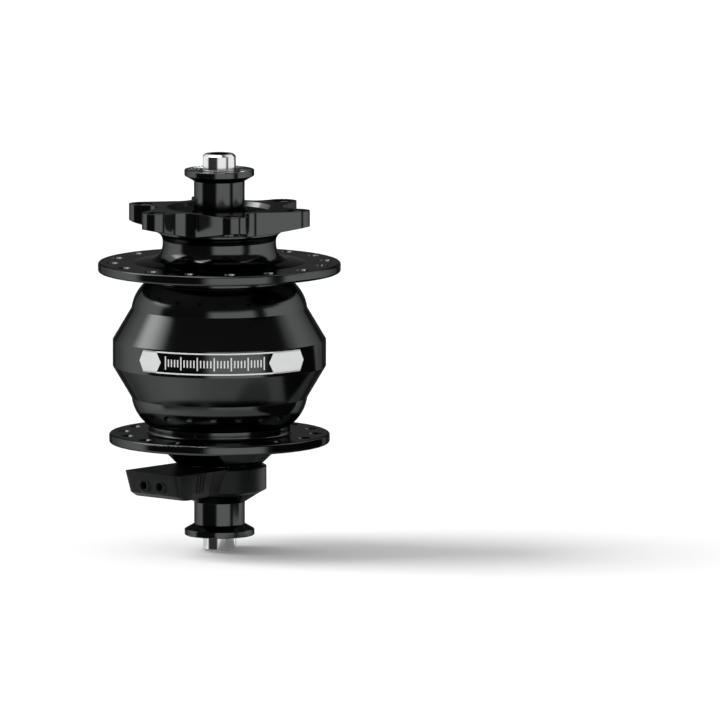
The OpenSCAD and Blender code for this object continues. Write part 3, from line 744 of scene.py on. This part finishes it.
@dataclass
class BoltThreads:
    """The threads in the rotor bolt holes.

    Attributes:
        circle: Radius of the circle that the holes lie on, in metres.
        holes: Number of holes.
        radius: Radius of a hole, in metres.
        low: Height of the thread's lower end, in metres.
        first: Angle of the first hole, in degrees.
        turns: Number of turns.
        pitch: Rise of one turn, in metres.
    """

    TURN_POINTS: ClassVar[int] = 32
    RIDGE_SIDES: ClassVar[int] = 4

    circle: float
    holes: int
    radius: float
    low: float
    first: float
    turns: float = 4.0
    pitch: float = 0.8 * MM

    def tree(self, material: Material) -> GeometryTree:
        """Builds the geometry nodes that wind one thread and set it in every hole.

        Args:
            material: The material of the threads.

        Returns:
            The tree, with named inputs for its sizes.
        """
        tree = new_tree("bolt_threads", {
            "Circle": "Float", "Holes": "Int", "Radius": "Float", "Turns": "Float", "Rise": "Float",
            "Ridge": "Float", "Height": "Float", "Turn": "Float",
        })
        source = tree.nodes.new("NodeGroupInput").outputs
        coil = add_node(tree, "GeometryNodeCurveSpiral", {
            "Resolution": self.TURN_POINTS, "Rotations": source["Turns"], "Start Radius": source["Radius"],
            "End Radius": source["Radius"], "Height": source["Rise"],
        })
        upright = add_node(tree, "GeometryNodeSetCurveNormal", {"Curve": coil.outputs["Curve"]})
        upright.mode = "Z_UP"
        ridge = add_node(tree, "GeometryNodeCurvePrimitiveCircle", {
            "Resolution": self.RIDGE_SIDES, "Radius": source["Ridge"],
        })
        thread = add_node(tree, "GeometryNodeCurveToMesh", {
            "Curve": upright.outputs["Curve"], "Profile Curve": ridge.outputs["Curve"], "Fill Caps": True,
        })
        centres = add_node(tree, "GeometryNodeMeshCircle", {
            "Vertices": source["Holes"], "Radius": source["Circle"],
        })
        place = add_node(tree, "GeometryNodeInstanceOnPoints", {
            "Points": centres.outputs["Mesh"], "Instance": thread.outputs["Mesh"],
        })
        close_tree(tree, place.outputs["Instances"], material)
        return tree

    def build(self, material: Material) -> None:
        """Makes the threads on the turning hub.

        Args:
            material: The hub's own finish.
        """
        mesh = run_tree(self.tree(material), {
            "Circle": self.circle,
            "Holes": self.holes,
            "Radius": self.radius,
            "Turns": self.turns,
            "Rise": self.turns * self.pitch,
            "Ridge": self.pitch / 2.0,
            "Height": self.low,
            "Turn": math.radians(self.first),
        })
        mesh_piece("rotor_bolt_threads", mesh, "hub", material)


@dataclass
class NeckFoot:
    """The flared foot of the disc-side neck, which runs out into the flange.

    Attributes:
        radius: Radius of the neck, in metres.
        flange: Height of the flange's top, in metres.
        fillet: Radius of the hollow between neck and flange, in metres.
        rise: How far the flange rises towards the neck, in metres.
        reach: Radius at which that rise begins, in metres.
        top: Height of the upper end, inside the fillet under the arms, in metres.
        skin: How far the foot stands off the neck, in metres.
        sunk: How far it reaches into the neck, in metres.
        steps: Number of steps along the hollow.
    """

    radius: float = 15.4 * MM
    flange: float = 24.7 * MM
    fillet: float = 4.2 * MM
    rise: float = 0.7 * MM
    reach: float = 23.5 * MM
    top: float = 31.8 * MM
    skin: float = 0.03 * MM
    sunk: float = 0.15 * MM
    steps: int = 20

    def build(self, material: Material) -> None:
        """Makes the foot on the turning hub.

        Args:
            material: The hub's own finish.
        """
        wall = self.radius + self.skin
        low = self.flange + self.rise
        hollow = []
        for i in range(self.steps + 1):
            angle = math.pi / 2.0 * i / self.steps
            out, up = 1.0 - math.sin(angle), 1.0 - math.cos(angle)
            hollow.append((wall + self.fillet * out, low + self.fillet * up))
        inside = self.radius - self.sunk
        under = self.flange - self.skin
        outline = [(inside, under), (self.reach, under), *hollow, (wall, self.top), (inside, self.top)]
        mesh_piece("neck_foot", lathe("neck_foot", outline), "hub", material)


@dataclass
class RecessShadeShield:
    """The thin dark rubber shield in the mouth of the disc-side recess: a seal, which also stands in for the
    shade inside the recess as painted shade.

    Attributes:
        inner: Radius of its hole, clear of the still cap, in metres.
        outer: Radius at which it meets the wall of the recess, in metres.
        low: Height of its lower face, in metres.
        high: Height of its upper face, in metres.
    """

    inner: float = 7.5 * MM
    outer: float = 13.75 * MM
    low: float = 38.0 * MM
    high: float = 38.45 * MM

    def build(self, material: Material) -> None:
        """Makes the shield on the turning hub.

        Args:
            material: The seals' rubber.
        """
        lower = [(self.inner, self.low), (self.outer, self.low)]
        upper = [(self.outer, self.high), (self.inner, self.high)]
        # Dark rubber across the recess: a seal, and painted shade for the recess as well.
        mesh_piece("recess_shade_shield", lathe("recess_shade_shield", lower + upper), "hub", material)


@dataclass
class SubAssembly:
    """Some CAD nodes that move together, each dressed in its record slot.

    Attributes:
        nodes: Names of the nodes.
    """

    nodes: tuple[str, ...]

    def dress(self, materials: dict[str, Material]) -> None:
        """Puts each node's finish on it.

        Args:
            materials: The material of each slot.
        """
        slots = {part["node"]: part["material_slot"] for part in frame["record"]["subparts"]}
        for name in self.nodes:
            mesh = frame["nodes"][name].data
            mesh.materials.clear()
            mesh.materials.append(materials[slots[name]])
            LOG.info("dressed %s in %s", name, slots[name])

    def build(self, materials: dict[str, Material]) -> None:
        """Builds the sub-assembly, which needs nothing more than its finishes."""
        self.dress(materials)


@dataclass
class AxleSet(SubAssembly):
    """What stays still in the fork: axle, end caps, connector socket, stator and inner races."""

    nodes: tuple[str, ...] = (
        "axle", "disc_end_cap", "connector_end_cap", "connector_housing", "connector_terminals",
        "lead_wires", "connector_sleeve", "stator_core", "claw_pole_disc_side", "claw_pole_connector_side",
        "coil_bobbin", "coil_winding", "stator_spacer_disc_side", "stator_spacer_connector_side",
        "inner_race_disc_side", "inner_race_connector_side",
    )


@dataclass
class TurningHub(SubAssembly):
    """What turns with the wheel: shell, side cover, magnets, outer races and seals, and what is on them.

    Attributes:
        drum_radius: Radius of the drum's band, in metres.
        bolt_circle: Radius of the rotor bolt circle, in metres.
        bolts: Number of rotor bolts.
        bolt_radius: Radius of a rotor bolt hole, in metres.
        bolt_turn: Angle of the first rotor bolt hole, in degrees.
        thread_low: Height of the lower end of the bolt threads, in metres.
    """

    nodes: tuple[str, ...] = (
        "hub_shell", "side_cover", "cover_gasket", "magnet_yoke", "rotor_magnets", "outer_race_disc_side",
        "outer_race_connector_side", "bearing_seals_disc_side", "bearing_seals_connector_side",
        "bearing_clip", "dust_seal_disc_side", "dust_seal_connector_side",
    )
    drum_radius: float = 29.0 * MM
    bolt_circle: float = 22.0 * MM
    bolts: int = 6
    bolt_radius: float = 2.5 * MM
    bolt_turn: float = -8.4
    thread_low: float = 35.9 * MM

    def build(self, materials: dict[str, Material]) -> None:
        """Dresses the nodes and adds the printed band, the bolt threads, the neck's foot and the shield that
        darkens the recess as painted shade.

        Args:
            materials: The material of each slot.
        """
        self.dress(materials)
        PrintedBand(self.drum_radius).build(materials["silver_print"])
        threads = BoltThreads(
            self.bolt_circle, self.bolts, self.bolt_radius, low=self.thread_low, first=self.bolt_turn
        )
        threads.build(materials["black_anodised"])
        NeckFoot().build(materials["black_anodised"])
        RecessShadeShield().build(materials["seal_rubber"])


@dataclass
class Plug(SubAssembly):
    """The plug that slides off the socket, with sides that stand more upright than its node's.

    Attributes:
        top: Height of its upper face, in metres.
        seam: Where it meets the socket along X, in metres.
        upright: Where its sides have come fully upright along X, in metres.
        core: Half of the width that stays as it is, in metres.
        side: Half of the width from which on the sides move as one, in metres.
        lean: How much of the sides' lean is taken out, as a slope.
        rows: Number of rows of points between the seam and the upright part.
        weld: Distance within which points of the node are one, in metres.
    """

    nodes: tuple[str, ...] = ("connector_plug",)
    top: float = -30.6 * MM
    seam: float = -13.42 * MM
    upright: float = -22.0 * MM
    core: float = 5.2 * MM
    side: float = 6.4 * MM
    lean: float = 0.19
    rows: int = 12
    weld: float = 0.0005 * MM

    def shift(self, place: Vector) -> float:
        """Says how far a point of the node's plug moves along Y."""
        along = min(max((self.seam - place.x) / (self.seam - self.upright), 0.0), 1.0)
        across = min(max((abs(place.y) - self.core) / (self.side - self.core), 0.0), 1.0)
        return math.copysign(self.lean * (self.top - place.z) * along * across, place.y)

    def build(self, materials: dict[str, Material]) -> None:
        """Makes the plug from a copy of its node's mesh and puts it in the node's place.

        Args:
            materials: The material of each slot.
        """
        self.dress(materials)
        made = bmesh.new()
        made.from_mesh(frame["nodes"]["connector_plug"].data)
        bmesh.ops.remove_doubles(made, verts=made.verts, dist=self.weld)
        along_x = Vector((1.0, 0.0, 0.0))
        for i in range(1, self.rows + 1):
            cut = along_x * (self.seam + (self.upright - self.seam) * i / self.rows)
            everything = made.verts[:] + made.edges[:] + made.faces[:]
            bmesh.ops.bisect_plane(made, geom=everything, plane_co=cut, plane_no=along_x)
        for vertex in made.verts:
            vertex.co.y += self.shift(vertex.co)
        mesh = smooth_mesh("plug_paddle", made)
        piece = mesh_piece("plug_paddle", mesh, "plug", materials["connector_plastic"])
        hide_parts("connector_plug")


@dataclass
class Studio:
    """A white floor lit from the left, and a studio of tall softboxes and cards that the metal mirrors.

    Attributes:
        floor_z: Height of the floor.
        distance: Distance from the camera to the hub, in metres.
        frame_width: Width of the picture at the hub, in metres.
        aim_right: How far the aim lies to the right of the hub centre, in metres.
        aim_down: How far the aim lies below the hub centre, in metres.
        fill: Level of the light from all round.
        sun: Level of the floor's light from the left.
        sheet: Side of the square sheet of light overhead, in metres.
        sheet_level: Level of that sheet.
    """

    floor_z: float
    distance: float = 8.0
    frame_width: float = 195.65 * MM
    aim_right: float = 38.2 * MM
    aim_down: float = 2.2 * MM
    fill: float = 0.63
    sun: float = 0.58
    sheet: float = 0.44
    sheet_level: float = 1.9

    # Grey levels that the metal mirrors, by degrees to the right of the camera.
    WALLS: ClassVar[tuple[tuple[float, float], ...]] = (
        (-180.0, 0.12), (-154.0, 0.12), (-150.0, 1.0), (-88.0, 1.0), (-80.0, 0.03), (-17.0, 0.03),
        (-8.0, 1.0), (45.0, 1.0), (53.0, 0.05), (62.0, 0.05), (68.0, 1.0), (146.0, 1.0), (150.0, 0.12),
        (180.0, 0.12),
    )
    UPPER: ClassVar[tuple[tuple[float, float], ...]] = (
        (-180.0, 0.12), (-154.0, 0.12), (-150.0, 0.9), (-120.0, 0.9), (-108.0, 3.8), (-98.0, 3.5),
        (-74.0, 0.04), (90.0, 0.04), (112.0, 1.0), (146.0, 1.0), (150.0, 0.12), (180.0, 0.12),
    )
    LOWER: ClassVar[tuple[tuple[float, float], ...]] = (
        (-180.0, 0.35), (-120.0, 0.7), (-80.0, 0.75), (-30.0, 0.52), (30.0, 0.45), (110.0, 0.4),
        (180.0, 0.35),
    )
    # Sines of the rise between which lower passes into walls, and walls into upper.
    WALLS_FROM: ClassVar[tuple[float, float]] = (-0.55, -0.35)
    UPPER_FROM: ClassVar[tuple[float, float]] = (0.36, 0.46)
    # Grey patches on the floor that only the metal mirrors, painted floor shade round the lower axle end:
    # name, degrees to the right of the camera, reach, radius and level.
    FLOOR_SHADE_PATCHES: ClassVar[tuple[tuple[str, float, float, float, float], ...]] = (
        ("floor_shade_left", -132.0, 30.0 * MM, 22.0 * MM, 0.65),
        ("floor_shade_right", 56.0, 28.0 * MM, 25.5 * MM, 0.19),
        ("floor_shade_under", 0.0, 0.0, 7.5 * MM, 0.3),
    )
    PATCH_SUNK: ClassVar[float] = 0.2 * MM
    ROUND_STEPS: ClassVar[int] = 48

    def direction(self, turn: float, rise: float) -> Vector:
        """Direction from the hub, by degrees to the right of the camera and above the horizon."""
        a = math.radians(PHOTO_AZIMUTH + turn)
        e = math.radians(rise)
        return Vector((math.sin(a) * math.cos(e), -math.cos(a) * math.cos(e), math.sin(e)))

    def camera(self) -> None:
        """Sets the long lens at the photograph's angle."""
        data = bpy.data.cameras.new("camera")
        data.sensor_width = 36.0
        data.lens = data.sensor_width * self.distance / self.frame_width
        data.clip_end = 100.0
        camera = link_object("camera", data)
        back = self.direction(0.0, PHOTO_ELEVATION)
        right = self.direction(90.0, 0.0)
        up = back.cross(right)
        aim = right * self.aim_right - up * self.aim_down
        camera.location = aim + back * self.distance
        camera.rotation_euler = (-back).to_track_quat("-Z", "Y").to_euler()
        bpy.context.scene.camera = camera

    def floor(self) -> Object:
        """Lays the pale floor, seen through from below, and returns it."""
        mesh = bpy.data.meshes.new("floor")
        half = 12.0
        corners = [(-half, -half), (half, -half), (half, half), (-half, half)]
        mesh.from_pydata([(x, y, self.floor_z) for x, y in corners], [], [(0, 1, 2, 3)])
        floor = link_object("floor", mesh)
        material = new_material("floor_white", {
            "Base Color": grey(0.94), "Roughness": 0.9, "Specular IOR Level": 0.1,
        })
        tree = material.node_tree
        clear = tree.nodes.new("ShaderNodeBsdfTransparent")
        side = tree.nodes.new("ShaderNodeNewGeometry")
        mix = add_node(tree, "ShaderNodeMixShader", {"Fac": side.outputs["Backfacing"]})
        tree.links.new(tree.nodes["Principled BSDF"].outputs[0], mix.inputs[1])
        tree.links.new(clear.outputs[0], mix.inputs[2])
        fill_inputs(tree, tree.nodes["Material Output"], {"Surface": mix.outputs[0]})
        mesh.materials.append(material)
        floor.visible_glossy = False
        return floor

    def lamp(self, data: bpy.types.Light, turn: float, rise: float, distance: float) -> Object:
        """Hangs a lamp that points at the hub and that the camera doesn't see.

        Args:
            data: The lamp's data.
            turn: Degrees to the right of the camera.
            rise: Degrees above the horizon.
            distance: Distance from the hub, in metres.

        Returns:
            The linked lamp.
        """
        lamp = link_object(data.name, data)
        toward = self.direction(turn, rise)
        lamp.location = toward * distance
        lamp.rotation_euler = (-toward).to_track_quat("-Z", "Y").to_euler()
        lamp.visible_camera = False
        return lamp

    def lamps(self, floor: Object) -> None:
        """Hangs the sheet overhead that the metal mirrors, and the sun at the left for the floor alone.

        Args:
            floor: The floor.
        """
        data = bpy.data.lights.new("overhead", "AREA")
        data.shape = "RECTANGLE"
        data.size, data.size_y = self.sheet, self.sheet
        data.energy = self.sheet_level * math.pi * data.size * data.size_y
        overhead = self.lamp(data, turn=-60.0, rise=80.0, distance=0.8)
        overhead.visible_diffuse = False
        rise = 38.0
        data = bpy.data.lights.new("sun", "SUN")
        data.angle = math.radians(40.0)
        data.energy = self.sun * math.pi / math.sin(math.radians(rise))
        sun = self.lamp(data, turn=-95.0, rise=rise, distance=1.0)
        sun.visible_glossy = False
        sun.light_linking.receiver_collection = bpy.data.collections.new("sunlit")
        sun.light_linking.receiver_collection.objects.link(floor)

    def card(self, name: str, made: bmesh.types.BMesh, place: Matrix, level: float) -> None:
        """Makes a stage card that only the metal mirrors.

        Args:
            name: The card's name.
            made: Its mesh about the origin, facing up, which is freed.
            place: The matrix that puts it in place.
            level: Its grey level.
        """
        made.transform(place)
        mesh = plain_mesh(name, made)
        card = link_object(name, mesh)
        mesh.materials.append(new_material(name, {
            "Base Color": grey(0.0), "Specular IOR Level": 0.0, "Emission Color": grey(level),
            "Emission Strength": 1.0,
        }))
        card.visible_camera = False
        card.visible_diffuse = False
        card.visible_shadow = False

    @staticmethod
    def turn_to(way: Vector) -> Matrix:
        """Returns the turn of what faces up so that it faces that way."""
        return way.to_track_quat("Z", "Y").to_matrix().to_4x4()

    def disc(self, radius: float) -> bmesh.types.BMesh:
        """Starts a round card of that radius."""
        made = bmesh.new()
        bmesh.ops.create_circle(made, cap_ends=True, segments=self.ROUND_STEPS, radius=radius)
        return made

    def cards(self) -> None:
        """Stands dark flags at the right and behind, and lays grey patches of painted floor shade round the
        lower axle end.
        """
        camera_way = self.direction(0.0, 0.0)
        radius, depth, gap = 30.0 * MM, 50.0 * MM, 1.0 * MM
        aside, ahead = 72.0 * MM, 20.0 * MM
        drum = bmesh.new()
        bmesh.ops.create_cone(
            drum, cap_ends=True, segments=self.ROUND_STEPS, radius1=radius, radius2=radius, depth=depth
        )
        middle = self.direction(90.0, 0.0) * aside + camera_way * ahead
        middle.z = self.floor_z + radius + gap
        self.card("flag", drum, Matrix.Translation(middle) @ self.turn_to(camera_way), level=0.02)
        reach, height = 33.0 * MM, 55.0 * MM
        middle = self.direction(149.0, 0.0) * reach
        middle.z = height
        place = Matrix.Translation(middle) @ self.turn_to(self.direction(127.0, 21.0))
        self.card("flag_behind", self.disc(18.0 * MM), place, level=0.06)
        for name, turn, reach, radius, level in self.FLOOR_SHADE_PATCHES:
            middle = self.direction(turn, 0.0) * reach
            middle.z = self.floor_z - self.PATCH_SUNK
            self.card(name, self.disc(radius), Matrix.Translation(middle), level)

    def softboxes(self) -> None:
        """Builds the world: white to the camera, an even fill, and tall softboxes for the glossy rays."""
        world = bpy.data.worlds.new("studio")
        bpy.context.scene.world = world
        world.use_nodes = True
        tree = world.node_tree
        turn = add_node(tree, "ShaderNodeMapping", {
            "Vector": tree.nodes.new("ShaderNodeTexCoord").outputs["Generated"],
            "Rotation": (0.0, 0.0, math.radians(-PHOTO_AZIMUTH)),
        })
        split = add_node(tree, "ShaderNodeSeparateXYZ", {"Vector": turn.outputs["Vector"]})
        toward = add_math(tree, "MULTIPLY", split.outputs["Y"], -1.0)
        angle = add_math(tree, "ARCTAN2", split.outputs["X"], toward)
        part = add_math(tree, "MULTIPLY_ADD", angle, 0.5 / math.pi, 0.5)
        rings = (self.LOWER, self.WALLS, self.UPPER)
        lower, walls, upper = (self.ring(tree, part, stops) for stops in rings)
        height = split.outputs["Z"]
        over_floor = blend(tree, self.band(tree, height, *self.WALLS_FROM), lower, walls)
        mirrored = blend(tree, self.band(tree, height, *self.UPPER_FROM), over_floor, upper)
        rays = tree.nodes.new("ShaderNodeLightPath").outputs
        plain = blend(tree, rays["Is Camera Ray"], self.fill, 1.0)
        seen = blend(tree, rays["Is Glossy Ray"], plain, mirrored)
        fill_inputs(tree, tree.nodes["Background"], {"Color": seen})

    @staticmethod
    def ring(tree: Tree, part: Socket, stops: tuple[tuple[float, float], ...]) -> Socket:
        """Adds a ramp of grey levels round the hub.

        Args:
            tree: The world's tree.
            part: Part of the turn, 0 to 1, with the camera at the middle.
            stops: Degrees to the right of the camera, with the level there.

        Returns:
            The ramp's colour output.
        """
        ramp = add_node(tree, "ShaderNodeValToRGB", {"Fac": part})
        elements = ramp.color_ramp.elements
        while len(elements) < len(stops):
            elements.new(0.5)
        for element, (degrees, level) in zip(elements, stops):
            element.position = (degrees + 180.0) / 360.0
            element.color = grey(level)
        return ramp.outputs["Color"]

    @staticmethod
    def band(tree: Tree, height: Socket, start: float, end: float) -> Socket:
        """Adds a smooth step from 0 to 1 between two heights and returns its output."""
        step = add_node(tree, "ShaderNodeMapRange", {"Value": height, "From Min": start, "From Max": end})
        step.interpolation_type = "SMOOTHSTEP"
        return step.outputs["Result"]

    def build(self) -> None:
        """Builds the floor, light and camera."""
        self.lamps(self.floor())
        self.cards()
        self.softboxes()
        self.camera()
        bpy.context.scene.view_settings.view_transform = "Standard"


def main() -> None:
    """Builds the finishes, the hub's sub-assemblies and the studio in order."""
    logging.basicConfig(level=logging.INFO, format="%(name)s: %(message)s")
    groups = {Texture.TURNED: turned_marks_group(), Texture.MOULDED: moulded_grain_group()}
    ring = ring_zone_group()
    materials = {finish.slot: finish.build(groups, ring) for finish in FINISHES}
    for assembly in (
        AxleSet(),
        TurningHub(),
        SubAssembly(("balls_disc_side", "cage_disc_side")),
        SubAssembly(("balls_connector_side", "cage_connector_side")),
        Plug(),
    ):
        assembly.build(materials)
    Studio(CAD_BOX[0].z).build()


if __name__ == "__main__":
    main()
